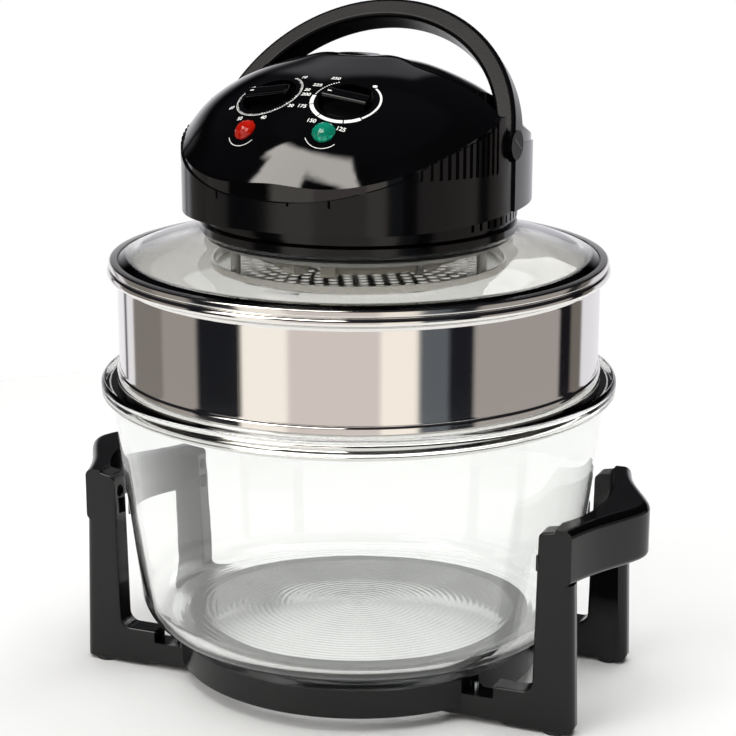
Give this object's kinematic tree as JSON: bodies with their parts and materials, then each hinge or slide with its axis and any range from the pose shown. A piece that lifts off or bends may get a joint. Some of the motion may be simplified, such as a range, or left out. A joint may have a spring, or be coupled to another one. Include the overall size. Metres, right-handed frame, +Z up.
{
  "type": "halogen oven",
  "caption": "Halogen oven: glass bowl in a black stand with side grips, steel extender ring and a loose glass lid with motor head, knobs and swing handle.",
  "frame": {"origin": "on the table, under the centre of the bowl", "axes": "+Z up, +X to the right, front towards -Y"},
  "size_m": [0.389, 0.33, 0.4315],
  "materials": {
    "stand_plastic": "moulded gloss black",
    "screw_steel": "zinc plated",
    "foot_rubber": "matt black",
    "bowl_glass": "clear, faint green",
    "ring_steel": "mirror polished stainless steel",
    "lid_glass": "clear",
    "rim_steel": "polished stainless steel",
    "collar_plastic": "moulded black",
    "gasket_rubber": "silicone",
    "inner_steel": "plain steel",
    "reflector": "bright sheet",
    "guard_steel": "perforated sheet",
    "lamp_quartz": "quartz tube",
    "lamp_ceramic": "white ceramic",
    "copper": "copper",
    "housing_plastic": "satin black",
    "rear_plastic": "gloss black",
    "cover_gloss": "high gloss black",
    "unit_plastic": "cream moulding",
    "red_lens": "faceted red",
    "green_lens": "faceted green",
    "neon_glass": "small neon bulb",
    "motor_iron": "laminated core",
    "inlet_rubber": "matt black",
    "bush_nylon": "natural nylon",
    "fan_aluminium": "pressed sheet",
    "fan_plastic": "grey moulding",
    "knob_gloss": "high gloss black",
    "spindle_steel": "turned steel",
    "handle_plastic": "satin black"
  },
  "bodies": {
    "stand": {"stand_ring": "stand_plastic", "left_front_leg": "stand_plastic", "right_front_leg": "stand_plastic", "left_rear_leg": "stand_plastic", "right_rear_leg": "stand_plastic", "left_grip": "stand_plastic", "right_grip": "stand_plastic", "leg_screws": "screw_steel", "grip_screws": "screw_steel", "foot_pads": "foot_rubber", "bowl_bumpers": "foot_rubber"},
    "bowl": {"glass_bowl": "bowl_glass"},
    "ring": {"extender_ring": "ring_steel"},
    "lid": {"lid_glass": "lid_glass", "lid_rim": "rim_steel", "collar": "collar_plastic", "collar_gasket": "gasket_rubber", "clamp_ring": "inner_steel", "clamp_screws": "screw_steel", "reflector_pan": "reflector", "pan_screws": "screw_steel", "mesh_guard": "guard_steel", "guard_posts": "inner_steel", "halogen_lamp": "lamp_quartz", "lamp_caps": "lamp_ceramic", "lamp_clips": "inner_steel", "lamp_terminals": "copper", "thermostat_bulb": "copper", "heat_shield": "reflector", "lower_housing": "housing_plastic", "rear_cover": "rear_plastic", "top_cover": "cover_gloss", "timer_unit": "unit_plastic", "temperature_unit": "unit_plastic", "power_lens": "red_lens", "heat_lens": "green_lens", "indicator_lamps": "neon_glass", "motor_bracket": "inner_steel", "bracket_screws": "screw_steel", "housing_screws": "screw_steel", "fan_motor": "motor_iron", "motor_coil": "copper", "cord_inlet": "inlet_rubber", "handle_bushes": "bush_nylon"},
    "rotor": {"motor_shaft": "inner_steel", "convection_fan": "fan_aluminium", "cooling_fan": "fan_plastic"},
    "timer": {"timer_knob": "knob_gloss", "timer_spindle": "spindle_steel"},
    "temperature": {"temperature_knob": "knob_gloss", "temperature_spindle": "spindle_steel"},
    "handle": {"carry_handle": "handle_plastic", "handle_pins": "inner_steel"}
  },
  "joints": [
    {"name": "bowl_lift", "type": "slide", "parent": "stand", "child": "bowl", "axis": [0, 0, 1], "range_m": [0, 0.2]},
    {"name": "ring_lift", "type": "slide", "parent": "bowl", "child": "ring", "axis": [0, 0, 1], "range_m": [0, 0.12]},
    {"name": "lid_lift", "type": "slide", "parent": "ring", "child": "lid", "axis": [0, 0, 1], "range_m": [0, 0.15]},
    {"name": "handle_swing", "type": "hinge", "parent": "lid", "child": "handle", "pos_m": [0.00063, 0.00747, 0.3516], "axis": [0.9965, -0.0837, 0], "range_deg": [0, 35]},
    {"name": "timer_knob_turn", "type": "hinge", "parent": "lid", "child": "timer", "pos_m": [-0.03152, -0.06459, 0.383], "axis": [0.2065, 0.4329, -0.8775], "range_deg": [0, 300]},
    {"name": "temperature_knob_turn", "type": "hinge", "parent": "lid", "child": "temperature", "pos_m": [0.0203, -0.06894, 0.383], "axis": [-0.1328, 0.4534, -0.8814], "range_deg": [0, 280]},
    {"name": "rotor_spin", "type": "hinge", "parent": "lid", "child": "rotor", "pos_m": [0, 0, 0.3], "axis": [0, 0, 1], "continuous": true}
  ]
}
